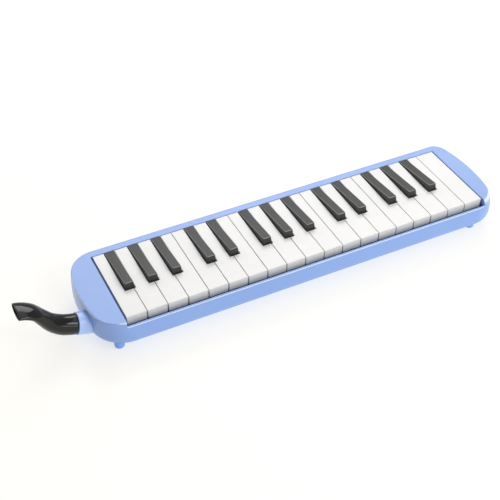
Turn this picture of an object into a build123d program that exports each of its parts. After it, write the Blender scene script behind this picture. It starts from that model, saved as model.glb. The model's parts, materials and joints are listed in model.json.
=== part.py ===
"""A 32-key melodica: a two-part plastic case, a row of white and black keys hinged on one rod,
a sealed reed chamber under them, and a curved mouthpiece pushed into a socket at the left end.

Units are millimetres. Parts are drawn with x = 0 at the left edge of the first white key,
y = 0 in the middle of the case and z = 0 at the underside of the feet. They are moved along x
when they are written, so that the origin lies under the middle of the whole instrument.
"""
from build123d import *
import math
import os

# Keyboard
WHITE_COUNT = 19
KEY_PITCH = 19.5
KEY_GAP = 0.5
BLACK_OFFSETS = {1: -0.17, 2: 0.0, 3: 0.18, 5: -0.09, 6: 0.09, 8: -0.17, 9: 0.0, 10: 0.18,
                 12: -0.09, 13: 0.09, 15: -0.17, 16: 0.0, 17: 0.18}
PLAIN_BOUNDARIES = (0, 4, 7, 11, 14, 18, 19)
KEYBOARD_LENGTH = WHITE_COUNT * KEY_PITCH
KEY_FRONT_Y = -44.0
KEY_REAR_Y = 42.4
KEY_TOP_Z = 35.0
KEY_UNDER_Z = 24.0
KEY_LIP_Z = 25.6
KEY_LIP_DEPTH = 3.2
KEY_SIDE_RELIEF = 0.35
KEY_RELIEF_DEPTH = 8.0
KEY_RELIEF_TOP_Z = 33.8
KEY_EDGE_RADIUS = 0.45
KEY_SKIN = 1.6
KEY_ROOF = 2.5
BLACK_FRONT_Y = -11.4
BLACK_WIDTH = 9.3
BLACK_RISE = 6.75
BLACK_FRONT_SLANT = 0.8
BLACK_SIDE_ANGLE = 5.0
BLACK_DRAFT_START = 1.5
BLACK_EDGE_RADIUS = 0.7
BLACK_SIDE_GAP = 0.6
BLACK_FRONT_GAP = 1.2

# Case. Each pair holds the value at the rim and the value where the case is widest.
LEFT_TIP = (-27.4, -28.95)
RIGHT_TIP = (388.8, 394.6)
FRONT_SIDE = (-49.0, -51.75)
REAR_SIDE = (50.4, 51.75)
FRONT_LEFT_CORNER = (21.0, 32.5)
REAR_LEFT_CORNER = (27.0, 33.5)
FRONT_RIGHT_CORNER = (25.0, 30.5)
REAR_RIGHT_CORNER = (12.0, 24.5)
LEFT_BOW = 8.9
RIGHT_BOW = 7.1
WIDEST_Z = 17.0
WALL_TURNS = (90.0, 67.5, 45.0, 22.5, 0.0)
CASE_UNDER_Z = 6.3
CASE_UNDER_RADIUS = 9.0
CASE_WALL = 2.5
FLOOR_TOP_Z = 8.5
FLOOR_EDGE_RADIUS = 6.0
SEAM_Z = 11.5
SEAM_GROOVE = 0.3
CLEAR_OF_CASE = 80.0
RAIL_Z = 29.4
RAIL_EDGE_RADIUS = 0.8
RAIL_INNER_Y = -48.6
LEFT_OPENING = -1.5
RIGHT_OPENING = 371.3
REAR_OPENING = 43.0
STEP_LEFT = -1.7
STEP_RIGHT = 372.0
SKIRT_Z = 24.5

# Feet
FOOT_X = (-7.5, 364.0)
FOOT_Y = 40.5
FOOT_RADIUS = 4.7
FOOT_ROUNDING = 1.9
FOOT_BARREL_TOP = 10.0
FOOT_PEG_RADIUS = 2.4

# Key mechanism
PIVOT_Y = 22.0
PIVOT_Z = 20.5
ROD_RADIUS = 1.5
ROD_CLEARANCE = 0.06
BOSS_RADIUS = 2.9
BOSS_WIDTH = 5.0
POST_WIDTH = 3.0
PAD_FRONT_Y = 32.0
PAD_REAR_Y = 41.5
PAD_WIDTH = 7.6
PAD_THICKNESS = 2.5
ARM_WIDTH = 6.6
SPRING_FRONT_Y = 2.0
SPRING_BEND_Y = 12.0
SPRING_SPINE_Y = 16.5
SPRING_THICKNESS = 0.4
SPRING_FINGER = 4.0
FELT_FRONT_Y = -40.5
FELT_REAR_Y = -35.5
FELT_TOP_Z = 19.6
FELT_SHELF_Z = 17.0

# Reed chamber
CHAMBER_LEFT = -3.0
CHAMBER_RIGHT = 373.5
CHAMBER_FRONT = -30.0
CHAMBER_REAR = 43.5
CHAMBER_UNDER_Z = 8.6
CHAMBER_TOP_Z = 14.5
CHAMBER_WALL = 2.0
GASKET_THICKNESS = 0.5
COVER_TOP_Z = 17.0
CELL_FRONT_Y = 8.0
CELL_REAR_Y = 42.5
CELL_BLOCK_Z = 13.2
CELL_ROOF_Z = 15.6
CELL_WIDTH = 7.4
PORT_WIDTH = 4.6
PORT_LENGTH = 7.0
END_BOX_TOP_Z = 24.0
INTAKE_BOX_LEFT = -20.5
INTAKE_BOX_HALF = 11.0
DRAIN_BOX_HALF = 8.0
DUCT_ROOF_Z = 13.7
DUCT_REACH = 3.0

# Reeds
PLATE_THICKNESS = 1.0
REED_THICKNESS = 0.3
REED_WIDTH = 2.9
REED_REAR_Y = 39.0
LONGEST_REED = 27.0
SHORTEST_REED = 13.0
REED_FOOT = 4.0
REED_SIDE_GAP = 0.15
RIVET_RADIUS = 0.8
RIVET_HEAD_RADIUS = 1.1
RIVET_HEAD = 0.6
PLATE_MARGIN = 4.6
PLATE_FRONT_Y = 8.5
PLATE_REAR_Y = 41.0
PLATE_SCREW_GAPS = (1, 7, 13, 17, 23, 29)
PLATE_SCREW_FRONT_Y = 11.0
PLATE_SCREW_RADIUS = 0.8
PLATE_SCREW_LENGTH = 3.4
PLATE_SCREW_HEAD_RADIUS = 1.5
PLATE_SCREW_HEAD = 0.8

# Mouthpiece and its socket
INLET_Y = -18.0
INLET_RING_X = -38.1
INLET_RING_Z = 21.0
INLET_TILT = 14.5
SOCKET_RADIUS = 10.3
SOCKET_EDGE_RADIUS = 0.5
SOCKET_FLANGE = 15.5
SOCKET_BORE = 6.55
SOCKET_BORE_DEPTH = 14.0
SOCKET_TAIL = 5.2
SOCKET_TAIL_BORE = 4.0
SOCKET_LENGTH = 20.4
SEAL_RADIUS = 6.6
SEAL_START = 16.5
SPIGOT_RADIUS = 6.5
SPIGOT_BORE = 4.8
SPIGOT_LENGTH = 13.5
MOUTHPIECE_WALL = 1.7
# Centre line of the mouthpiece: x, z, half thickness, half width and lean of each section.
# The lean is the angle of the line above horizontal, going out to the lip.
MOUTHPIECE_SECTIONS = (
    (-38.1, 21.0, 9.5, 9.5, 14.5),
    (-44.0, 22.6, 9.4, 9.5, 17.0),
    (-51.8, 26.2, 9.0, 9.6, 32.0),
    (-60.0, 33.0, 7.7, 9.5, 48.0),
    (-66.6, 42.0, 6.5, 9.8, 56.0),
    (-72.5, 49.9, 5.4, 10.4, 45.0),
    (-79.6, 54.4, 4.1, 11.0, 20.0),
    (-86.8, 56.6, 3.3, 11.1, 16.0),
)

# Drain valve in the right end
DRAIN_Z = 17.5
DRAIN_BOX_RIGHT = 380.0
DRAIN_SEAT_RADIUS = 3.0
DRAIN_SEAL_RADIUS = 4.5
DRAIN_SEAL_THICKNESS = 1.5
DRAIN_STEM_RADIUS = 1.5
DRAIN_CAP_RADIUS = 5.0
DRAIN_CAP_INNER = 388.4
DRAIN_CAP_OUTER = 394.1
DRAIN_CAP_EDGE = 0.8
DRAIN_STEM_TAIL = 0.5
DRAIN_HOLE_RADIUS = 5.3
DRAIN_SPRING_RADIUS = 2.7
DRAIN_WIRE_RADIUS = 0.25
DRAIN_TURNS = 4
DRAIN_SPRING_PLAY = 0.05

# Screws
SCREW_RADIUS = 1.3
UNDER_SCREW_LENGTH = 8.0
COVER_SCREW_LENGTH = 4.9
SCREW_HEAD_RADIUS = 2.2
SCREW_HEAD_HEIGHT = 1.2
CROSS_LENGTH = 2.6
CROSS_WIDTH = 0.6
CROSS_DEPTH = 0.6
SUNK_SCREW_Z = 9.4
BOSS_TOP_Z = 11.4
COLUMN_RADIUS = 3.4
SIDE_COLUMN_RADIUS = 2.9
END_COLUMNS = ((-14.0, -33.5), (-14.0, 33.5), (381.0, -31.0), (381.0, 31.0))
SIDE_COLUMN_X = (117.0, 253.5)
SIDE_COLUMN_Y = 46.5
FRONT_COLUMN_TOP = 18.5
CHAMBER_COLUMN_X = (20.0, 130.0, 240.0, 350.0)
CHAMBER_COLUMN_Y = (-24.5, 2.5)
COVER_SCREW_X = (58.0, 165.0, 205.0, 312.0)
COVER_SCREW_INSET = 4.6


def block(x0, x1, y0, y1, z0, z1):
    """A box between two corners."""
    size = Box(x1 - x0, y1 - y0, z1 - z0)
    return Pos((x0 + x1) / 2, (y0 + y1) / 2, (z0 + z1) / 2) * size


def upright(x, y, z0, z1, radius):
    """A cylinder along z."""
    return Pos(x, y, (z0 + z1) / 2) * Cylinder(radius, z1 - z0)


def lengthwise(x0, x1, y, z, radius):
    """A cylinder along x."""
    return Pos((x0 + x1) / 2, y, z) * Rot(0, 90, 0) * Cylinder(radius, x1 - x0)


def outline(spread, inset=0.0):
    """Plan of the case: spread 0 at its rim, 1 where it is widest, and drawn in by the inset."""
    def between(pair):
        return pair[0] + (pair[1] - pair[0]) * spread
    left_tip, right_tip = between(LEFT_TIP) + inset, between(RIGHT_TIP) - inset
    front, rear = between(FRONT_SIDE) + inset, between(REAR_SIDE) - inset
    left, right = left_tip + LEFT_BOW, right_tip - RIGHT_BOW
    middle = (front + rear) / 2
    sides = (Line((left, front), (right, front))
             + ThreePointArc((right, front), (right_tip, middle), (right, rear))
             + Line((right, rear), (left, rear))
             + ThreePointArc((left, rear), (left_tip, middle), (left, front)))
    plan = make_face(sides)
    corners = (((left, front), FRONT_LEFT_CORNER), ((left, rear), REAR_LEFT_CORNER),
               ((right, front), FRONT_RIGHT_CORNER), ((right, rear), REAR_RIGHT_CORNER))
    for place, radius in corners:
        corner = plan.vertices().sort_by_distance(place)[0]
        plan = fillet(corner, between(radius) - inset)
    return plan


def case_form(inset, under, under_radius):
    """The whole rounded body of the case, or the room in it when drawn in by the wall."""
    lower = extrude(Pos(0, 0, under) * outline(1, inset), WIDEST_Z - under)
    lower = fillet(lower.faces().sort_by(Axis.Z)[0].edges(), under_radius)
    rise = KEY_TOP_Z - inset - WIDEST_Z
    sections = []
    for turn in WALL_TURNS:
        angle = math.radians(turn)
        height = WIDEST_Z + rise * math.cos(angle)
        sections.append(Pos(0, 0, height) * outline(math.sin(angle), inset))
    return lower + loft(sections)


def case_outside():
    """The outer form of the closed case."""
    return case_form(0, CASE_UNDER_Z, CASE_UNDER_RADIUS)


def case_inside():
    """The room inside the closed case."""
    return case_form(CASE_WALL, FLOOR_TOP_Z, FLOOR_EDGE_RADIUS)


def layer(z0, z1):
    """A block that reaches past the case all round, between two heights."""
    return block(LEFT_TIP[1] - CLEAR_OF_CASE, RIGHT_TIP[1] + CLEAR_OF_CASE,
                 -CLEAR_OF_CASE, CLEAR_OF_CASE, z0, z1)


def inlet_plane(distance):
    """A plane across the inlet's tilted axis, this far inward from the mouthpiece shoulder."""
    tilt = math.radians(INLET_TILT)
    x = INLET_RING_X + distance * math.cos(tilt)
    z = INLET_RING_Z - distance * math.sin(tilt)
    return Plane(origin=(x, INLET_Y, z), x_dir=(0, 1, 0),
                 z_dir=(math.cos(tilt), 0, -math.sin(tilt)))


def inlet_cylinder(start, end, radius):
    """A cylinder along the inlet's tilted axis."""
    return extrude(inlet_plane(start) * Circle(radius), end - start)


def inlet_passage():
    """The stepped hole through the case's left wall that the socket and its seal pass through."""
    collar = inlet_cylinder(-1, SOCKET_FLANGE + 0.05, SOCKET_RADIUS + 0.05)
    return collar + inlet_cylinder(SOCKET_FLANGE - 1, SOCKET_LENGTH + 0.1, SEAL_RADIUS + 0.1)


def seam_groove():
    """The shallow line around the case where its two halves meet."""
    z0, z1 = SEAM_Z - SEAM_GROOVE / 2, SEAM_Z + SEAM_GROOVE / 2
    drop = CASE_UNDER_Z + CASE_UNDER_RADIUS - SEAM_Z
    drawn_in = CASE_UNDER_RADIUS - math.sqrt(CASE_UNDER_RADIUS ** 2 - drop ** 2)
    within = extrude(Pos(0, 0, z0) * outline(1, drawn_in + SEAM_GROOVE), z1 - z0)
    return layer(z0, z1) - within


def side_columns():
    """Plan positions of the screw columns along the long sides."""
    return [(x, y) for y in (-SIDE_COLUMN_Y, SIDE_COLUMN_Y) for x in SIDE_COLUMN_X]


def case_columns():
    """Plan positions of all the screws that join the two halves of the case."""
    return [*END_COLUMNS, *side_columns()]


def front_rail(shell):
    """The shell with its front side cut down to a rail that has a rounded outer edge."""
    shell -= block(STEP_LEFT, STEP_RIGHT, -CLEAR_OF_CASE, RAIL_INNER_Y, RAIL_Z, KEY_TOP_Z + 1)
    outer = [edge for edge in shell.edges()
             if abs(edge.center().Z - RAIL_Z) < 0.01 and edge.center().Y < FRONT_SIDE[0]]
    return fillet(outer, RAIL_EDGE_RADIUS)


def top_case():
    """Upper shell: end panels and rear rail level with the keys, and a lower front rail."""
    shell = front_rail(case_outside() - layer(0, SEAM_Z))
    keyboard_bay = block(LEFT_OPENING - CASE_WALL, RIGHT_OPENING + CASE_WALL,
                         -CLEAR_OF_CASE, REAR_OPENING + CASE_WALL, SKIRT_Z, KEY_TOP_Z)
    shell -= case_inside() - keyboard_bay
    shell -= block(LEFT_OPENING, RIGHT_OPENING, RAIL_INNER_Y, REAR_OPENING,
                   SEAM_Z, KEY_TOP_Z + 1)
    for x, y in END_COLUMNS:
        shell += upright(x, y, SEAM_Z, KEY_TOP_Z - CASE_WALL, COLUMN_RADIUS)
    for x, y in side_columns():
        top = FRONT_COLUMN_TOP if y < 0 else SKIRT_Z
        shell += upright(x, y, SEAM_Z, top, SIDE_COLUMN_RADIUS)
    shell -= [screw_shank(x, y, SUNK_SCREW_Z, 1) for x, y in case_columns()]
    shell -= seam_groove()
    shell -= inlet_passage()
    drain_hole = lengthwise(DRAIN_CAP_INNER, DRAIN_CAP_OUTER + 3, 0, DRAIN_Z,
                            DRAIN_HOLE_RADIUS)
    return shell - drain_hole


def felt_shelf():
    """The hollow ridge on the case floor that carries the felt under the key fronts."""
    shelf = block(0, KEYBOARD_LENGTH, FELT_FRONT_Y - 0.5, FELT_REAR_Y + 0.5,
                  FLOOR_TOP_Z, FELT_SHELF_Z)
    return shelf - block(-1, KEYBOARD_LENGTH + 1, FELT_FRONT_Y + 1, FELT_REAR_Y - 1,
                         FLOOR_TOP_Z, FELT_SHELF_Z - 1.5)


def bottom_case():
    """Lower tray with a rounded under edge, screw bosses and the shelf of the key stop."""
    form = case_outside() - layer(SEAM_Z, KEY_TOP_Z + 1)
    tray = form - case_inside() + felt_shelf()
    for x, y in case_columns():
        tray += upright(x, y, FLOOR_TOP_Z - 1, BOSS_TOP_Z, SIDE_COLUMN_RADIUS) & form
        tray -= screw_shank(x, y, SUNK_SCREW_Z, 1) + screw_head(x, y, SUNK_SCREW_Z)
        tray -= upright(x, y, CASE_UNDER_Z - 1, SUNK_SCREW_Z, SCREW_HEAD_RADIUS)
    for x, y in chamber_columns():
        tray -= screw_shank(x, y, CASE_UNDER_Z, 1) + screw_head(x, y, CASE_UNDER_Z)
    for x, y in feet_places():
        tray -= upright(x, y, CASE_UNDER_Z - 1, FLOOR_TOP_Z + 1, FOOT_PEG_RADIUS)
    tray -= seam_groove()
    return tray - inlet_passage()


def feet_places():
    """Plan positions of the four feet."""
    return [(x, y) for x in FOOT_X for y in (-FOOT_Y, FOOT_Y)]


def feet():
    """Short round feet fitted to the case's rounded underside, each with a peg into it."""
    body = case_outside()
    pieces = []
    for x, y in feet_places():
        barrel = upright(x, y, 0, FOOT_BARREL_TOP, FOOT_RADIUS)
        barrel = fillet(barrel.edges().sort_by(Axis.Z)[0], FOOT_ROUNDING)
        peg = upright(x, y, CASE_UNDER_Z - 0.5, FLOOR_TOP_Z, FOOT_PEG_RADIUS)
        pieces.append(barrel - body + peg)
    return pieces


def screw_shank(x, y, start, way):
    """The body of a screw that runs up (way 1) or down (way -1) from a height."""
    length = UNDER_SCREW_LENGTH if way > 0 else COVER_SCREW_LENGTH
    z0, z1 = sorted((start, start + way * length))
    return upright(x, y, z0, z1, SCREW_RADIUS)


def screw_head(x, y, under):
    """The round head of a screw, from its under side up."""
    return upright(x, y, under, under + SCREW_HEAD_HEIGHT, SCREW_HEAD_RADIUS)


def cross_recess(x, y, z):
    """The cross-shaped driver slot of a screw head."""
    cross = (Box(CROSS_LENGTH, CROSS_WIDTH, 2 * CROSS_DEPTH)
             + Box(CROSS_WIDTH, CROSS_LENGTH, 2 * CROSS_DEPTH))
    return Pos(x, y, z) * cross


def under_screw(x, y, under):
    """A screw driven up from below, with its head's outer face at the given height."""
    screw = screw_shank(x, y, under, 1) + screw_head(x, y, under)
    return screw - cross_recess(x, y, under)


def cover_screw(x, y):
    """A screw driven down through the chamber cover and gasket."""
    screw = screw_shank(x, y, COVER_TOP_Z, -1) + screw_head(x, y, COVER_TOP_Z)
    return screw - cross_recess(x, y, COVER_TOP_Z + SCREW_HEAD_HEIGHT)


def chamber_columns():
    """Plan positions of the screws that hold the chamber down on the case floor."""
    return [(x, y) for x in CHAMBER_COLUMN_X for y in CHAMBER_COLUMN_Y]


def cover_screw_places():
    """Plan positions of the screws around the chamber cover."""
    front, rear = CHAMBER_FRONT + COVER_SCREW_INSET, CELL_FRONT_Y - COVER_SCREW_INSET
    return [(x, y) for x in COVER_SCREW_X for y in (front, rear)]


def black_centre(boundary):
    """Centre of the black key that stands over a boundary between two white keys."""
    return (boundary + BLACK_OFFSETS[boundary]) * KEY_PITCH


def white_tail(index):
    """Left and right sides of the rear part of a white key, between the black keys."""
    clear = BLACK_WIDTH / 2 + BLACK_SIDE_GAP
    left = index * KEY_PITCH + KEY_GAP / 2
    right = (index + 1) * KEY_PITCH - KEY_GAP / 2
    if index in BLACK_OFFSETS:
        left = black_centre(index) + clear
    if index + 1 in BLACK_OFFSETS:
        right = black_centre(index + 1) - clear
    return left, right


def tail_centre(index):
    """Centre of a white key's rear part, where its lever, valve pad and spring are."""
    return sum(white_tail(index)) / 2


def note_centres():
    """Centres of all the levers in order of pitch."""
    whites = [tail_centre(i) for i in range(WHITE_COUNT)]
    return sorted(whites + [black_centre(b) for b in BLACK_OFFSETS])


def lever(x):
    """The hinge boss under a key and the arm that carries its valve pad."""
    half = BOSS_WIDTH / 2
    boss = lengthwise(x - half, x + half, PIVOT_Y, PIVOT_Z, BOSS_RADIUS)
    boss += block(x - half, x + half, PIVOT_Y - BOSS_RADIUS, PIVOT_Y + BOSS_RADIUS,
                  PIVOT_Z, KEY_UNDER_Z + 0.5)
    arm_under = COVER_TOP_Z + PAD_THICKNESS
    arm = block(x - ARM_WIDTH / 2, x + ARM_WIDTH / 2, PAD_FRONT_Y + 0.5, PAD_REAR_Y - 0.5,
                arm_under, KEY_UNDER_Z + 0.5)
    return boss + arm


def pivot_hole(x):
    """The hole through a key's boss, a running fit on the rod."""
    return lengthwise(x - BOSS_WIDTH, x + BOSS_WIDTH, PIVOT_Y, PIVOT_Z,
                      ROD_RADIUS + ROD_CLEARANCE)


def valve_pad(x):
    """The soft pad that closes one port in the chamber cover."""
    return block(x - PAD_WIDTH / 2, x + PAD_WIDTH / 2, PAD_FRONT_Y, PAD_REAR_Y,
                 COVER_TOP_Z + 0.02, COVER_TOP_Z + PAD_THICKNESS)


def front_relief(left, right):
    """What is cut from a white key's front: room below its lip and a step down each side."""
    rear = KEY_FRONT_Y + KEY_RELIEF_DEPTH
    below = block(left - 1, right + 1, KEY_FRONT_Y - 1, KEY_FRONT_Y + KEY_LIP_DEPTH,
                  KEY_UNDER_Z - 1, KEY_LIP_Z)
    sides = [block(x - KEY_SIDE_RELIEF, x + KEY_SIDE_RELIEF, KEY_FRONT_Y - 1, rear,
                   KEY_UNDER_Z - 1, KEY_RELIEF_TOP_Z) for x in (left, right)]
    return [below, *sides]


def white_key(index):
    """A white key: a full-width front, a narrower tail, a hollow underside and a lever."""
    left = index * KEY_PITCH + KEY_GAP / 2
    right = (index + 1) * KEY_PITCH - KEY_GAP / 2
    tail_left, tail_right = white_tail(index)
    shoulder = BLACK_FRONT_Y - BLACK_FRONT_GAP
    body = block(left, right, KEY_FRONT_Y, shoulder, KEY_UNDER_Z, KEY_TOP_Z)
    body += block(tail_left, tail_right, shoulder, KEY_REAR_Y, KEY_UNDER_Z, KEY_TOP_Z)
    body = fillet(body.faces().sort_by(Axis.Z)[-1].edges(), KEY_EDGE_RADIUS)
    roof = KEY_TOP_Z - KEY_ROOF
    body -= block(left + KEY_SKIN, right - KEY_SKIN, KEY_FRONT_Y + KEY_SKIN,
                  shoulder - KEY_SKIN, KEY_UNDER_Z - 1, roof)
    body -= block(tail_left + KEY_SKIN, tail_right - KEY_SKIN, shoulder - 2 * KEY_SKIN,
                  SPRING_FRONT_Y - 4, KEY_UNDER_Z - 1, roof)
    body -= front_relief(left, right)
    x = tail_centre(index)
    return [body + lever(x) - pivot_hole(x), valve_pad(x)]


def black_key(boundary):
    """A black key: highest at its slanted front and falling to the white keys' level."""
    x = black_centre(boundary)
    top = KEY_TOP_Z + BLACK_RISE
    profile = Polyline(
        (BLACK_FRONT_Y, KEY_UNDER_Z),
        (BLACK_FRONT_Y, KEY_TOP_Z),
        (BLACK_FRONT_Y + BLACK_FRONT_SLANT, top),
        (KEY_REAR_Y, KEY_TOP_Z + 0.2),
        (KEY_REAR_Y, KEY_UNDER_Z),
        close=True,
    )
    side_view = Plane(origin=(x - BLACK_WIDTH / 2, 0, 0), x_dir=(0, 1, 0), z_dir=(1, 0, 0))
    body = extrude(side_view * make_face(profile), BLACK_WIDTH)
    for side in (-1, 1):
        lean = Rot(0, -side * BLACK_SIDE_ANGLE, 0) * Pos(side * 10, 0, 10) * Box(20, 300, 20)
        body -= Pos(x + side * BLACK_WIDTH / 2, 0, KEY_TOP_Z - BLACK_DRAFT_START) * lean
    top_edges = body.edges().filter_by(lambda e: e.center().Z > KEY_TOP_Z + 1)
    body = fillet(top_edges, BLACK_EDGE_RADIUS)
    skin = BLACK_WIDTH / 2 - KEY_SKIN
    body -= block(x - skin, x + skin, BLACK_FRONT_Y + KEY_SKIN, SPRING_FRONT_Y - 4,
                  KEY_UNDER_Z - 1, KEY_TOP_Z - 1)
    return [body + lever(x) - pivot_hole(x), valve_pad(x)]


def pivot_rod():
    """The one steel rod that all the keys turn on."""
    return lengthwise(CHAMBER_LEFT + 0.5, CHAMBER_RIGHT - 0.5, PIVOT_Y, PIVOT_Z, ROD_RADIUS)


def spring_comb():
    """One strip of spring bronze with a raised finger under each key."""
    base = COVER_TOP_Z
    centres = note_centres()
    comb = block(1, KEYBOARD_LENGTH - 1, SPRING_BEND_Y, SPRING_SPINE_Y, base,
                 base + SPRING_THICKNESS)
    tip = KEY_UNDER_Z - SPRING_THICKNESS - 0.05
    side = Polyline(
        (SPRING_BEND_Y + 1, base),
        (SPRING_FRONT_Y, tip),
        (SPRING_FRONT_Y - 1, tip),
        (SPRING_FRONT_Y - 1, tip + SPRING_THICKNESS),
        (SPRING_FRONT_Y + 0.2, tip + SPRING_THICKNESS),
        (SPRING_BEND_Y + 1.2, base + SPRING_THICKNESS),
        close=True,
    )
    for x in centres:
        view = Plane(origin=(x - SPRING_FINGER / 2, 0, 0), x_dir=(0, 1, 0), z_dir=(1, 0, 0))
        comb += extrude(view * make_face(side), SPRING_FINGER)
    return comb


def key_stop_felt():
    """The felt strip that the key fronts land on."""
    return block(0.5, KEYBOARD_LENGTH - 0.5, FELT_FRONT_Y, FELT_REAR_Y, FELT_SHELF_Z,
                 FELT_TOP_Z)


def end_box(x0, x1, y0, y1):
    """A raised closed box at one end of the chamber."""
    return block(x0, x1, y0, y1, CHAMBER_UNDER_Z, END_BOX_TOP_Z)


def reed_chamber():
    """The tray that holds the air, with an intake box at the left and a drain box at the right."""
    wall = CHAMBER_WALL
    floor = CHAMBER_UNDER_Z + wall
    tray = block(CHAMBER_LEFT, CHAMBER_RIGHT, CHAMBER_FRONT, CHAMBER_REAR,
                 CHAMBER_UNDER_Z, CHAMBER_TOP_Z)
    tray -= block(CHAMBER_LEFT + wall, CHAMBER_RIGHT - wall, CHAMBER_FRONT + wall,
                  CHAMBER_REAR - wall, floor, CHAMBER_TOP_Z + 1)
    for x, y in (*chamber_columns(), *cover_screw_places()):
        tray += upright(x, y, floor - 0.5, CHAMBER_TOP_Z, COLUMN_RADIUS)
    front, rear = INLET_Y - INTAKE_BOX_HALF, INLET_Y + INTAKE_BOX_HALF
    tray += end_box(INTAKE_BOX_LEFT, CHAMBER_LEFT, front, rear)
    tray += end_box(CHAMBER_RIGHT, DRAIN_BOX_RIGHT, -DRAIN_BOX_HALF, DRAIN_BOX_HALF)
    roof = END_BOX_TOP_Z - wall
    tray -= block(INTAKE_BOX_LEFT + wall, CHAMBER_LEFT - wall, front + wall, rear - wall,
                  floor, roof)
    tray -= block(CHAMBER_LEFT - DUCT_REACH, CHAMBER_LEFT + DUCT_REACH, front + wall,
                  rear - wall, floor, DUCT_ROOF_Z)
    inner_half = DRAIN_BOX_HALF - wall
    tray -= block(CHAMBER_RIGHT, DRAIN_BOX_RIGHT - wall, -inner_half, inner_half, floor, roof)
    tray -= block(CHAMBER_RIGHT - DUCT_REACH, CHAMBER_RIGHT + 1, -inner_half, inner_half,
                  floor, DUCT_ROOF_Z)
    tray -= inlet_cylinder(SEAL_START - 1, SOCKET_LENGTH, SEAL_RADIUS)
    tray -= lengthwise(CHAMBER_RIGHT + 2, DRAIN_BOX_RIGHT + 1, 0, DRAIN_Z, DRAIN_SEAT_RADIUS)
    tray -= [screw_shank(x, y, CASE_UNDER_Z, 1) for x, y in chamber_columns()]
    return tray - [screw_shank(x, y, COVER_TOP_Z, -1) for x, y in cover_screw_places()]


def chamber_gasket():
    """The soft seal between the chamber's rim and its cover."""
    wall = CHAMBER_WALL
    top = CHAMBER_TOP_Z + GASKET_THICKNESS
    ring = block(CHAMBER_LEFT, CHAMBER_RIGHT, CHAMBER_FRONT, CHAMBER_REAR, CHAMBER_TOP_Z, top)
    ring -= block(CHAMBER_LEFT + wall, CHAMBER_RIGHT - wall, CHAMBER_FRONT + wall,
                  CHAMBER_REAR - wall, CHAMBER_TOP_Z - 1, top + 1)
    return ring


def chamber_cover():
    """The lid of the chamber: a cell and a port for each note, and posts for the key rod."""
    under = CHAMBER_TOP_Z + GASKET_THICKNESS
    cover = block(CHAMBER_LEFT, CHAMBER_RIGHT, CHAMBER_FRONT, CHAMBER_REAR, under, COVER_TOP_Z)
    inner_rear = min(CELL_REAR_Y, CHAMBER_REAR - CHAMBER_WALL)
    cover += block(CHAMBER_LEFT + CHAMBER_WALL + 0.1, CHAMBER_RIGHT - CHAMBER_WALL - 0.1,
                   CELL_FRONT_Y, inner_rear - 0.1, CELL_BLOCK_Z, under)
    for x in note_centres():
        cell = block(x - CELL_WIDTH / 2, x + CELL_WIDTH / 2, CELL_FRONT_Y + 2,
                     inner_rear - 1.5, CELL_BLOCK_Z - 1, CELL_ROOF_Z)
        port_rear = REED_REAR_Y + 0.5
        cover -= cell + block(x - PORT_WIDTH / 2, x + PORT_WIDTH / 2,
                              port_rear - PORT_LENGTH, port_rear, CELL_ROOF_Z - 1,
                              COVER_TOP_Z + 1)
    for boundary in PLAIN_BOUNDARIES:
        x = boundary * KEY_PITCH
        half = POST_WIDTH / 2
        post = lengthwise(x - half, x + half, PIVOT_Y, PIVOT_Z, BOSS_RADIUS - 0.1)
        post += block(x - half, x + half, PIVOT_Y - BOSS_RADIUS, PIVOT_Y + BOSS_RADIUS,
                      COVER_TOP_Z - 0.5, PIVOT_Z)
        cover += post
    cover -= lengthwise(CHAMBER_LEFT - 1, CHAMBER_RIGHT + 1, PIVOT_Y, PIVOT_Z, ROD_RADIUS)
    cover -= [screw_shank(x, y, COVER_TOP_Z, -1) for x, y in cover_screw_places()]
    return cover - [plate_screw_shank(x, y) for x, y in plate_screw_places()]


def reed_length(order):
    """Length of a reed, from the longest and lowest to the shortest and highest."""
    last = len(note_centres()) - 1
    return LONGEST_REED * (SHORTEST_REED / LONGEST_REED) ** (order / last)


def plate_screw_places():
    """Plan positions of the reed plate screws, in the ribs between the cells."""
    centres = note_centres()
    between = [(centres[i] + centres[i + 1]) / 2 for i in PLATE_SCREW_GAPS]
    return [(x, y) for x in between for y in (PLATE_SCREW_FRONT_Y, REED_REAR_Y)]


def plate_screw_shank(x, y):
    """The body of a small screw that holds a reed plate up against the cell block."""
    under = CELL_BLOCK_Z - PLATE_THICKNESS
    return upright(x, y, under, under + PLATE_SCREW_LENGTH, PLATE_SCREW_RADIUS)


def plate_screw(x, y):
    """A reed plate screw with its head below the plate."""
    under = CELL_BLOCK_Z - PLATE_THICKNESS
    head = upright(x, y, under - PLATE_SCREW_HEAD, under, PLATE_SCREW_HEAD_RADIUS)
    return plate_screw_shank(x, y) + head


def rivet_place(order):
    """Plan position of the rivet that holds one reed at its rear end."""
    return note_centres()[order], REED_REAR_Y - REED_FOOT / 2


def rivet(order):
    """A rivet through a reed's foot and its plate, with a head on the reed."""
    x, y = rivet_place(order)
    reed_under = CELL_BLOCK_Z - PLATE_THICKNESS - REED_THICKNESS
    return (upright(x, y, reed_under, CELL_BLOCK_Z, RIVET_RADIUS)
            + upright(x, y, reed_under - RIVET_HEAD, reed_under, RIVET_HEAD_RADIUS))


def reed(order):
    """One reed tongue, riveted at its rear and free at its front."""
    x, y = rivet_place(order)
    top = CELL_BLOCK_Z - PLATE_THICKNESS
    half = REED_WIDTH / 2
    tongue = block(x - half, x + half, REED_REAR_Y - reed_length(order), REED_REAR_Y,
                   top - REED_THICKNESS, top)
    return tongue - upright(x, y, top - 1, top + 1, RIVET_RADIUS)


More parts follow.
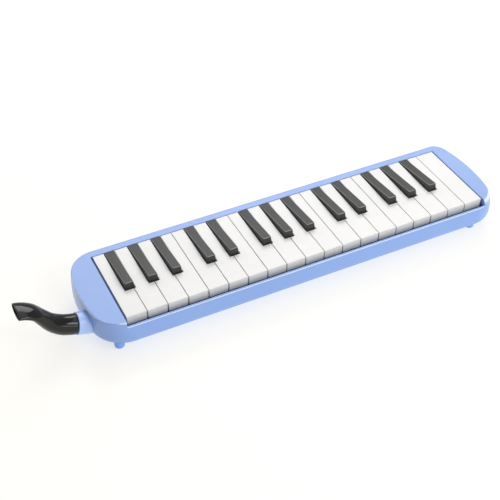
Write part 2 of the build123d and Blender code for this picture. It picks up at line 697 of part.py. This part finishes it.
def reed_plate(orders):
    """A metal plate with one slot under each reed."""
    centres = note_centres()
    first, last = orders[0], orders[-1]
    top = CELL_BLOCK_Z
    plate = block(centres[first] - PLATE_MARGIN, centres[last] + PLATE_MARGIN,
                  PLATE_FRONT_Y, PLATE_REAR_Y, top - PLATE_THICKNESS, top)
    for order in orders:
        x, y = rivet_place(order)
        half = REED_WIDTH / 2 + REED_SIDE_GAP
        front = REED_REAR_Y - reed_length(order) - REED_SIDE_GAP
        plate -= block(x - half, x + half, front, REED_REAR_Y - REED_FOOT, top - 2, top + 1)
        plate -= upright(x, y, top - 2, top + 1, RIVET_RADIUS)
    return plate - [plate_screw_shank(x, y) for x, y in plate_screw_places()]


def inlet_socket():
    """The tube at the left end: a wide outer collar, a bore for the mouthpiece and a tail."""
    body = inlet_cylinder(0, SOCKET_FLANGE, SOCKET_RADIUS)
    body = fillet(body.edges().sort_by(Axis.X)[0], SOCKET_EDGE_RADIUS)
    body += inlet_cylinder(SOCKET_BORE_DEPTH, SOCKET_LENGTH, SOCKET_TAIL)
    body -= inlet_cylinder(-1, SOCKET_BORE_DEPTH, SOCKET_BORE)
    return body - inlet_cylinder(-1, SOCKET_LENGTH + 1, SOCKET_TAIL_BORE)


def socket_seal():
    """The rubber sleeve between the socket's tail and the chamber's intake box."""
    sleeve = inlet_cylinder(SEAL_START, SOCKET_LENGTH, SEAL_RADIUS)
    return sleeve - inlet_cylinder(SEAL_START - 1, SOCKET_LENGTH + 1, SOCKET_TAIL)


def mouthpiece_section(x, z, thick, wide, lean, inset=0.0, forward=0.0):
    """An oval across the mouthpiece's centre line, drawn in by the inset or moved along."""
    angle = math.radians(lean)
    way = Vector(-math.cos(angle), 0, math.sin(angle))
    plane = Plane(origin=Vector(x, INLET_Y, z) + way * forward, x_dir=(0, 1, 0), z_dir=way)
    return plane * Ellipse(wide - inset, thick - inset)


def mouthpiece():
    """The curved mouthpiece: round at its shoulder, flat at the lip and hollow all through."""
    body = loft([mouthpiece_section(*section) for section in MOUTHPIECE_SECTIONS])
    body += inlet_cylinder(-0.5, SPIGOT_LENGTH, SPIGOT_RADIUS)
    hollow = [mouthpiece_section(*section, MOUTHPIECE_WALL)
              for section in MOUTHPIECE_SECTIONS[1:]]
    hollow.append(mouthpiece_section(*MOUTHPIECE_SECTIONS[-1], MOUTHPIECE_WALL, 1.0))
    body -= loft(hollow)
    return body - inlet_cylinder(-7, SPIGOT_LENGTH + 1, SPIGOT_BORE)


def drain_button():
    """The button of the drain valve, with a stem into the drain box."""
    seat = DRAIN_BOX_RIGHT - CHAMBER_WALL
    cap = lengthwise(DRAIN_CAP_INNER, DRAIN_CAP_OUTER, 0, DRAIN_Z, DRAIN_CAP_RADIUS)
    cap = fillet(cap.edges().sort_by(Axis.X)[-1], DRAIN_CAP_EDGE)
    stem_end = seat - DRAIN_SEAL_THICKNESS - DRAIN_STEM_TAIL
    return cap + lengthwise(stem_end, DRAIN_CAP_INNER + 0.5, 0, DRAIN_Z, DRAIN_STEM_RADIUS)


def drain_seal():
    """The rubber washer on the stem that closes the drain hole from inside."""
    right = DRAIN_BOX_RIGHT - CHAMBER_WALL - 0.05
    left = right - DRAIN_SEAL_THICKNESS
    washer = lengthwise(left, right, 0, DRAIN_Z, DRAIN_SEAL_RADIUS)
    return washer - lengthwise(left - 1, right + 1, 0, DRAIN_Z, DRAIN_STEM_RADIUS)


def drain_spring():
    """The coil spring that pushes the drain button out."""
    wire = DRAIN_WIRE_RADIUS
    length = DRAIN_CAP_INNER - DRAIN_BOX_RIGHT - 2 * (wire + DRAIN_SPRING_PLAY)
    coil = Helix(length / DRAIN_TURNS, length, DRAIN_SPRING_RADIUS)
    section = Plane(coil @ 0, z_dir=coil % 0) * Circle(wire)
    spring = sweep(section, path=coil)
    start = DRAIN_BOX_RIGHT + wire + DRAIN_SPRING_PLAY
    return Pos(start, 0, DRAIN_Z) * Rot(0, 90, 0) * spring


def whole_centre_x():
    """Half way between the mouthpiece's lip and the right end of the case."""
    return (mouthpiece().bounding_box().min.X + RIGHT_TIP[1]) / 2


def save(name, pieces, shift):
    """Write one node, moved so that the origin is under the middle of the instrument."""
    solids = []
    for piece in pieces:
        solids += piece.solids()
    moved = [Pos(-shift, 0, 0) * solid for solid in solids]
    node = Compound(children=moved) if len(moved) > 1 else moved[0]
    export_step(node, f"parts/{name}.step")


def main():
    """Build every node."""
    os.makedirs("parts", exist_ok=True)
    half = len(note_centres()) // 2
    low, high = list(range(half)), list(range(half, 2 * half))
    nodes = {
        "top_case": [top_case()],
        "bottom_case": [bottom_case()],
        "feet": feet(),
        "inlet_socket": [inlet_socket()],
        "socket_seal": [socket_seal()],
        "mouthpiece": [mouthpiece()],
        "reed_chamber": [reed_chamber()],
        "chamber_gasket": [chamber_gasket()],
        "chamber_cover": [chamber_cover()],
        "cover_screws": [cover_screw(x, y) for x, y in cover_screw_places()],
        "reed_plate_low": [reed_plate(low)],
        "reed_plate_high": [reed_plate(high)],
        "reeds_low": [reed(order) for order in low],
        "reeds_high": [reed(order) for order in high],
        "reed_rivets": [rivet(order) for order in low + high],
        "reed_plate_screws": [plate_screw(x, y) for x, y in plate_screw_places()],
        "key_pivot_rod": [pivot_rod()],
        "key_spring_comb": [spring_comb()],
        "key_stop_felt": [key_stop_felt()],
        "drain_button": [drain_button()],
        "drain_seal": [drain_seal()],
        "drain_spring": [drain_spring()],
        "case_screws": [under_screw(x, y, SUNK_SCREW_Z) for x, y in case_columns()],
        "chamber_screws": [under_screw(x, y, CASE_UNDER_Z) for x, y in chamber_columns()],
    }
    for index in range(WHITE_COUNT):
        nodes[f"white_key_{index + 1:02d}"] = white_key(index)
    for order, boundary in enumerate(BLACK_OFFSETS):
        nodes[f"black_key_{order + 1:02d}"] = black_key(boundary)
    shift = whole_centre_x()
    print("origin lies", round(shift, 3), "mm right of the first white key's left edge")
    for name, pieces in nodes.items():
        save(name, pieces, shift)


if __name__ == "__main__":
    main()
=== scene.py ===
"""Looks of the melodica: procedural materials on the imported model, a finely modelled mouthpiece,
a pale floor, soft studio light and the camera. Units are metres unless a comment says otherwise."""
import bmesh
import bpy
import json
import math
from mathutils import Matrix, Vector


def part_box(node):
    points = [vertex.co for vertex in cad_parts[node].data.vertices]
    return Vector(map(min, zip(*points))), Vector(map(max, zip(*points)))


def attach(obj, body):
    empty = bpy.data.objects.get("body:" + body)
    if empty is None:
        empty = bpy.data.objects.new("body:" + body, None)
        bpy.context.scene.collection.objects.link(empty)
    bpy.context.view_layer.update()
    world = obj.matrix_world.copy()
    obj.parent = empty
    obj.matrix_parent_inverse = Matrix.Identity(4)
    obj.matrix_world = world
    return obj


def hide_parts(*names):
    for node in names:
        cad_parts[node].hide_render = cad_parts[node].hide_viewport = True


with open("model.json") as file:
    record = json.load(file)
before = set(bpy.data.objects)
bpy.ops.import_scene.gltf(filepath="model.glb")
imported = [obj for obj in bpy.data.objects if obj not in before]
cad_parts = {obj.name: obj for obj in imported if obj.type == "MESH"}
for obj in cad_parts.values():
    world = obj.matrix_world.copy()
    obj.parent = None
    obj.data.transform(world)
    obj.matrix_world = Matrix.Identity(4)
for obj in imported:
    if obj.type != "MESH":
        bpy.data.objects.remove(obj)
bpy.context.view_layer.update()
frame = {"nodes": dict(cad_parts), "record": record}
NODES = frame["nodes"]

# Camera: it looks along this azimuth and down by this elevation at a point inside the case,
# which lies this far right of the first white key's left side.
VIEW_AZIMUTH = math.radians(-26.2)
VIEW_ELEVATION = math.radians(41.5)
VIEW_TARGET = Vector((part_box("white_key_01")[0][0] + 0.1425, 0.0053, 0.0175))
VIEW_DISTANCE = 0.9713
LENS_MM = 73.78
SENSOR_MM = 36.0

# Strength of the surround: a dark flag on the left, an open pale studio on the right.
SHADE_LEFT = 0.08
SHADE_RIGHT = 0.52

# Mouthpiece: x from KEYS_LEFT, z, half thickness, half width and lean of each section along its
# centre line, in millimetres and degrees above horizontal. KEYS_LEFT lies a hair left of the
# first white key. The ridge is the mould line, and the shoulder's sections have no bore of their own.
BEFORE_FIRST_KEY = 0.0003
KEYS_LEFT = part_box("white_key_01")[0][0] - BEFORE_FIRST_KEY
INLET_Y = (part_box("mouthpiece")[0][1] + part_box("mouthpiece")[1][1]) / 2
MOUTH_SECTIONS = (
    (-25.03, 17.62, 6.5, 6.5, 14.5),
    (-37.6, 20.87, 6.5, 6.5, 14.5),
    (-38.1, 21.0, 8.9, 8.9, 14.5),
    (-38.9, 21.2, 9.5, 9.5, 14.5),
    (-44.0, 22.6, 9.4, 9.5, 17.0),
    (-51.8, 26.2, 9.0, 9.6, 32.0),
    (-60.0, 33.0, 7.7, 9.5, 48.0),
    (-66.6, 42.0, 6.5, 9.8, 56.0),
    (-72.5, 49.9, 5.4, 10.4, 45.0),
    (-79.6, 54.4, 4.1, 11.0, 20.0),
    (-86.0, 56.4, 3.3, 11.1, 16.0),
)
MOUTH_ROUND_START = 4
SHOULDER_SECTIONS = (2, 3)
MOUTH_WALL = 1.7
MOULD_RIDGE = 0.07
LIP_TURNS = (30, 60, 90, 120, 150)
RING_POINTS = 48
RINGS_BETWEEN = 5

# Floor: half its width, two close paper tones, and its own faint glow.
FLOOR_HALF = 6.0
FLOOR_TONES = ((0.49, 0.465, 0.41, 1), (0.50, 0.475, 0.42, 1))
FLOOR_GLOW = 0.62


def srgb(red, green, blue):
    """A display colour, 0 to 255, as the linear colour that a shader takes."""
    def linear(value):
        value /= 255
        return value / 12.92 if value <= 0.04045 else ((value + 0.055) / 1.055) ** 2.4
    return (linear(red), linear(green), linear(blue), 1.0)


def scaled(colour, factor):
    """A colour made lighter or darker."""
    return tuple(min(1.0, c * factor) for c in colour[:3]) + (1.0,)


class Shader:
    """A material's node tree, with short calls for the nodes used here."""

    def __init__(self, name):
        self.material = bpy.data.materials.new(name)
        self.material.use_nodes = True
        self.nodes = self.material.node_tree.nodes
        self.links = self.material.node_tree.links
        self.surface = self.nodes["Principled BSDF"]
        self.place = self.nodes.new("ShaderNodeTexCoord").outputs["Object"]

    def set(self, **values):
        """Numbers and colours that are the same all over, by the socket's own name."""
        for name, value in values.items():
            self.surface.inputs[name.replace("_", " ")].default_value = value

    def link(self, output, socket):
        self.links.new(output, self.surface.inputs[socket])

    def noise(self, scale, detail=2.0, stretch=(1, 1, 1)):
        """Noise over the object's own coordinates, in cycles per metre."""
        mapping = self.nodes.new("ShaderNodeMapping")
        mapping.inputs["Scale"].default_value = stretch
        self.links.new(self.place, mapping.inputs["Vector"])
        noise = self.nodes.new("ShaderNodeTexNoise")
        noise.inputs["Scale"].default_value = scale
        noise.inputs["Detail"].default_value = detail
        self.links.new(mapping.outputs["Vector"], noise.inputs["Vector"])
        return noise.outputs["Fac"]

    def remap(self, value, low, high, start=0.0, end=1.0):
        """A value stretched from one range to another."""
        node = self.nodes.new("ShaderNodeMapRange")
        node.inputs["From Min"].default_value = start
        node.inputs["From Max"].default_value = end
        node.inputs["To Min"].default_value = low
        node.inputs["To Max"].default_value = high
        self.links.new(value, node.inputs["Value"])
        return node.outputs["Result"]

    def mix(self, factor, first, second):
        """Two colours, or colour outputs, mixed by a factor."""
        node = self.nodes.new("ShaderNodeMix")
        node.data_type = "RGBA"
        self.links.new(factor, node.inputs["Factor"])
        for socket, value in ((node.inputs[6], first), (node.inputs[7], second)):
            if isinstance(value, tuple):
                socket.default_value = value
            else:
                self.links.new(value, socket)
        return node.outputs[2]

    def bump(self, height, strength, distance, below=None):
        """A bump from a height, on top of another normal if there is one."""
        node = self.nodes.new("ShaderNodeBump")
        node.inputs["Strength"].default_value = strength
        node.inputs["Distance"].default_value = distance
        self.links.new(height, node.inputs["Height"])
        if below is not None:
            self.links.new(below, node.inputs["Normal"])
        return node.outputs["Normal"]

    def product(self, first, second):
        """Two values multiplied together."""
        node = self.nodes.new("ShaderNodeMath")
        node.operation = "MULTIPLY"
        self.links.new(first, node.inputs[0])
        self.links.new(second, node.inputs[1])
        return node.outputs[0]

    def rounded(self, radius):
        """The surface normal smoothed over small radii at the edges."""
        node = self.nodes.new("ShaderNodeBevel")
        node.samples = 8
        node.inputs["Radius"].default_value = radius
        return node.outputs["Normal"]

    def facing(self, axis):
        """How far the surface faces along one of the part's axes, from -1 to 1."""
        parts = self.nodes.new("ShaderNodeSeparateXYZ")
        self.links.new(self.nodes.new("ShaderNodeTexCoord").outputs["Normal"], parts.inputs[0])
        return parts.outputs[axis]

    def painted_highlight_band(self):
        """1 on the rounded edges between upright sides and flat tops, and 0 elsewhere; this is where
        the painted highlight is laid.
        """
        upward = self.facing("Z")
        return self.product(self.remap(upward, 0, 1, 0.15, 0.38),
                            self.remap(upward, 1, 0, 0.86, 0.985))


def moulded_plastic(name, colour, rough, grain=0.10, gloss=0.5, coat=0.0, painted_highlight=None,
                    painted_front_shade=None, streak=0.0, edge_radius=0.0003):
    """Injection-moulded plastic: faint flow marks, a fine grain, hair scratches in its gloss,
    a painted highlight on the upper edges where a highlight colour is given, painted shade on
    the fronts where a front shade colour is given and lengthwise streaks on the keys."""
    shader = Shader(name)
    flow = shader.noise(9, 3, (1, 2.2, 2.2))
    tint = shader.mix(shader.remap(flow, 0, 1, 0.3, 0.7), scaled(colour, 0.975),
                      scaled(colour, 1.02))
    if streak:
        lines = shader.noise(900, 3, (1, 0.06, 1))
        tint = shader.mix(shader.remap(lines, 0, streak, 0.35, 0.65), tint,
                          scaled(colour, 2.2))
    # Painted highlight: a light colour laid on the rounded upper edges, standing in for the light
    # those edges catch.
    if painted_highlight:
        tint = shader.mix(shader.painted_highlight_band(), tint, painted_highlight)
    # Painted shade: faces turned to the front are mixed towards the darker front colour, standing in
    # for the shade that falls on them.
    if painted_front_shade:
        tint = shader.mix(shader.remap(shader.facing("Y"), 1, 0, -0.9, -0.5), tint, painted_front_shade)
    shader.link(tint, "Base Color")
    wear = shader.product(shader.noise(60, 4), shader.noise(300, 2, (1, 14, 1)))
    shader.link(shader.remap(wear, rough - 0.02, rough + 0.03, 0.05, 0.5), "Roughness")
    shader.link(shader.bump(shader.noise(1600, 2), grain, 0.00012, shader.rounded(edge_radius)),
                "Normal")
    shader.set(Specular_IOR_Level=gloss, Coat_Weight=coat, Coat_Roughness=0.08)
    return shader.material


def metal(name, colour, rough, stretch):
    """Rolled or drawn metal with a directional grain."""
    shader = Shader(name)
    grain = shader.noise(700, 3, stretch)
    shader.link(shader.mix(grain, scaled(colour, 0.82), scaled(colour, 1.1)), "Base Color")
    shader.link(shader.remap(grain, rough - 0.08, rough + 0.12), "Roughness")
    shader.link(shader.bump(grain, 0.15, 0.00005), "Normal")
    shader.set(Metallic=1.0)
    return shader.material


def soft_matter(name, colour, scale, depth):
    """Rubber or felt: matt, mottled and slightly uneven."""
    shader = Shader(name)
    mottle = shader.noise(scale, 4)
    shader.link(shader.mix(mottle, scaled(colour, 0.7), scaled(colour, 1.25)), "Base Color")
    shader.link(shader.bump(mottle, 0.5, depth), "Normal")
    shader.set(Roughness=0.9)
    return shader.material


MATERIALS = {
    # Case: the pale rim colour is a painted highlight on its rounded upper edges.
    "case_plastic": moulded_plastic("case_plastic", srgb(136, 170, 234), 0.30, 0.05, 0.6,
                                    0.15, painted_highlight=srgb(225, 242, 255), edge_radius=0.0008),
    "foot_plastic": moulded_plastic("foot_plastic", srgb(128, 168, 240), 0.34),
    "socket_plastic": moulded_plastic("socket_plastic", srgb(178, 204, 252), 0.30, coat=0.1),
    # White keys: the darker front colour is painted shade on the key fronts.
    "white_key_plastic": moulded_plastic("white_key_plastic", srgb(241, 240, 238), 0.26, 0.04,
                                         painted_front_shade=srgb(233, 232, 229)),
    # Black keys: the grey edge colour is a painted highlight on their rounded top edges.
    "black_key_plastic": moulded_plastic("black_key_plastic", srgb(40, 40, 40), 0.34, 0.08,
                                         painted_highlight=srgb(150, 150, 150), streak=0.5),
    "mouthpiece_plastic": moulded_plastic("mouthpiece_plastic", srgb(8, 8, 9), 0.12, 0.03,
                                          gloss=0.35, coat=0.15),
    "chamber_plastic": moulded_plastic("chamber_plastic", srgb(52, 53, 56), 0.5),
    "seal_rubber": soft_matter("seal_rubber", srgb(40, 40, 40), 900, 0.0001),
    "stop_felt": soft_matter("stop_felt", srgb(38, 36, 36), 2600, 0.0004),
    "screw_steel": metal("screw_steel", srgb(200, 200, 204), 0.32, (1, 1, 1)),
    "rod_steel": metal("rod_steel", srgb(190, 190, 194), 0.28, (1, 12, 12)),
    "reed_plate_metal": metal("reed_plate_metal", srgb(212, 212, 214), 0.36, (1, 10, 10)),
    "reed_brass": metal("reed_brass", srgb(214, 178, 96), 0.30, (10, 1, 10)),
    "spring_bronze": metal("spring_bronze", srgb(200, 150, 92), 0.34, (12, 1, 1)),
}


def dress_cad_nodes():
    """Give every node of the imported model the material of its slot."""
    for part in frame["record"]["subparts"]:
        node = NODES[part["node"]]
        node.data.materials.clear()
        node.data.materials.append(MATERIALS[part["material_slot"]])


def smooth_between(before, first, second, after, t):
    """A point on a Catmull-Rom curve through four tuples of numbers."""
    return tuple(0.5 * (2 * b + (c - a) * t + (2 * a - 5 * b + 4 * c - d) * t * t
                        + (3 * b - a - 3 * c + d) * t ** 3)
                 for a, b, c, d in zip(before, first, second, after))


def mouth_stations():
    """Sections close together along the mouthpiece: as given at the spigot, smooth beyond."""
    given = [tuple(map(float, section)) for section in MOUTH_SECTIONS]
    stations = given[:MOUTH_ROUND_START]
    last = len(given) - 1
    for i in range(MOUTH_ROUND_START - 1, last):
        before = given[max(i - 1, MOUTH_ROUND_START - 1)]
        after = given[min(i + 2, last)]
        for step in range(1, RINGS_BETWEEN + 1):
            stations.append(smooth_between(before, given[i], given[i + 1], after,
                                           step / RINGS_BETWEEN))
    return stations


def mouth_ring(mesh, station, inset, forward=0.0, ridge=0.0):
    """A ring of vertices round one section, with a faint mould line along each side."""
    x, z, thick, wide, lean = station
    angle = math.radians(lean)
    way = Vector((-math.cos(angle), 0, math.sin(angle)))
    across = Vector((math.sin(angle), 0, math.cos(angle)))
    centre = Vector((KEYS_LEFT + x / 1000, INLET_Y, z / 1000)) + way * forward / 1000
    ring = []
    for i in range(RING_POINTS):
        turn = 2 * math.pi * i / RING_POINTS
        proud = ridge if i in (0, RING_POINTS // 2) else 0.0
        side = Vector((0, 1, 0)) * (wide - inset + proud) * math.cos(turn)
        up = across * (thick - inset) * math.sin(turn)
        ring.append(mesh.verts.new(centre + (side + up) / 1000))
    return ring


def add_mouthpiece():
    """The mouthpiece as one smooth tube: spigot, shoulder, curved body, rounded lip and bore."""
    mesh = bmesh.new()
    stations = mouth_stations()
    rings = [mouth_ring(mesh, station, 0.0, ridge=0.0 if i < MOUTH_ROUND_START else MOULD_RIDGE)
             for i, station in enumerate(stations)]
    lip, half = stations[-1], MOUTH_WALL / 2
    for degrees in LIP_TURNS:
        turn = math.radians(degrees)
        rings.append(mouth_ring(mesh, lip, half * (1 - math.cos(turn)),
                                half * math.sin(turn)))
    for i in range(len(stations) - 1, -1, -1):
        if i not in SHOULDER_SECTIONS:
            rings.append(mouth_ring(mesh, stations[i], MOUTH_WALL))
    for first, second in zip(rings, rings[1:] + rings[:1]):
        for i in range(RING_POINTS):
            j = (i + 1) % RING_POINTS
            mesh.faces.new((first[i], first[j], second[j], second[i]))
    bmesh.ops.recalc_face_normals(mesh, faces=mesh.faces)
    data = bpy.data.meshes.new("mouthpiece_tube")
    mesh.to_mesh(data)
    mesh.free()
    data.shade_smooth()
    data.materials.append(MATERIALS["mouthpiece_plastic"])
    tube = bpy.data.objects.new("mouthpiece_tube", data)
    bpy.context.scene.collection.objects.link(tube)
    smooth = tube.modifiers.new("smooth", "SUBSURF")
    smooth.levels = smooth.render_levels = 1
    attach(tube, "mouthpiece")
    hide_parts("mouthpiece")


def add_floor():
    """A large plain floor at the height of the soles."""
    mesh = bpy.data.meshes.new("floor")
    half = FLOOR_HALF
    corners = [(-half, -half, 0), (half, -half, 0), (half, half, 0), (-half, half, 0)]
    mesh.from_pydata([Vector(c) for c in corners], [], [(0, 1, 2, 3)])
    floor = bpy.data.objects.new("floor", mesh)
    bpy.context.scene.collection.objects.link(floor)
    shader = Shader("floor_paper")
    shade = shader.mix(shader.noise(3, 2), *FLOOR_TONES)
    shader.link(shade, "Base Color")
    shader.set(Roughness=0.9, Specular_IOR_Level=0.1, Emission_Color=(1, 1, 1, 1),
               Emission_Strength=FLOOR_GLOW)
    mesh.materials.append(shader.material)


def add_light(name, place, aim, size, power):
    """A rectangular white softbox at a place, turned towards a point."""
    lamp = bpy.data.lights.new(name, "AREA")
    lamp.shape = "RECTANGLE"
    lamp.size, lamp.size_y = size
    lamp.energy = power
    holder = bpy.data.objects.new(name, lamp)
    holder.location = place
    holder.rotation_euler = (Vector(aim) - Vector(place)).to_track_quat("-Z", "Y").to_euler()
    bpy.context.scene.collection.objects.link(holder)


def add_lights():
    """Softboxes overhead, at the front and at the rear, and a surround that is darker at left."""
    world = bpy.data.worlds.new("studio")
    world.use_nodes = True
    nodes, links = world.node_tree.nodes, world.node_tree.links
    parts = nodes.new("ShaderNodeSeparateXYZ")
    links.new(nodes.new("ShaderNodeTexCoord").outputs["Generated"], parts.inputs[0])
    ramp = nodes.new("ShaderNodeMapRange")
    for name, value in (("From Min", -0.7), ("From Max", 0.3), ("To Min", SHADE_LEFT),
                        ("To Max", SHADE_RIGHT)):
        ramp.inputs[name].default_value = value
    links.new(parts.outputs["X"], ramp.inputs["Value"])
    links.new(ramp.outputs["Result"], nodes["Background"].inputs["Strength"])
    nodes["Background"].inputs["Color"].default_value = (1, 1, 1, 1)
    bpy.context.scene.world = world
    add_light("overhead", (0.25, 0.05, 1.6), (0, 0, 0), (1.8, 1.4), 6)
    add_light("front_right", (0.62, -1.05, 0.95), (0, 0, 0), (0.8, 0.5), 6)
    add_light("front_low", (0.35, -1.5, 0.32), (0, 0, 0.02), (1.4, 0.4), 3.5)
    add_light("rear_right", (0.55, 1.15, 1.15), (0, 0, 0), (1.3, 0.7), 9)
    add_light("rear_left", (-0.75, 1.15, 0.75), (0, 0, 0), (0.5, 0.3), 2.2)


def add_camera():
    """The camera at the viewing angle, with the whole instrument in the frame."""
    camera = bpy.data.cameras.new("camera")
    camera.lens = LENS_MM
    camera.sensor_width = SENSOR_MM
    holder = bpy.data.objects.new("camera", camera)
    back = Vector((math.sin(VIEW_AZIMUTH) * math.cos(VIEW_ELEVATION),
                   -math.cos(VIEW_AZIMUTH) * math.cos(VIEW_ELEVATION),
                   math.sin(VIEW_ELEVATION)))
    holder.location = VIEW_TARGET + back * VIEW_DISTANCE
    holder.rotation_euler = (-back).to_track_quat("-Z", "Y").to_euler()
    bpy.context.scene.collection.objects.link(holder)
    bpy.context.scene.camera = holder
    bpy.context.scene.view_settings.view_transform = "Standard"


dress_cad_nodes()
add_mouthpiece()
add_floor()
add_lights()
add_camera()
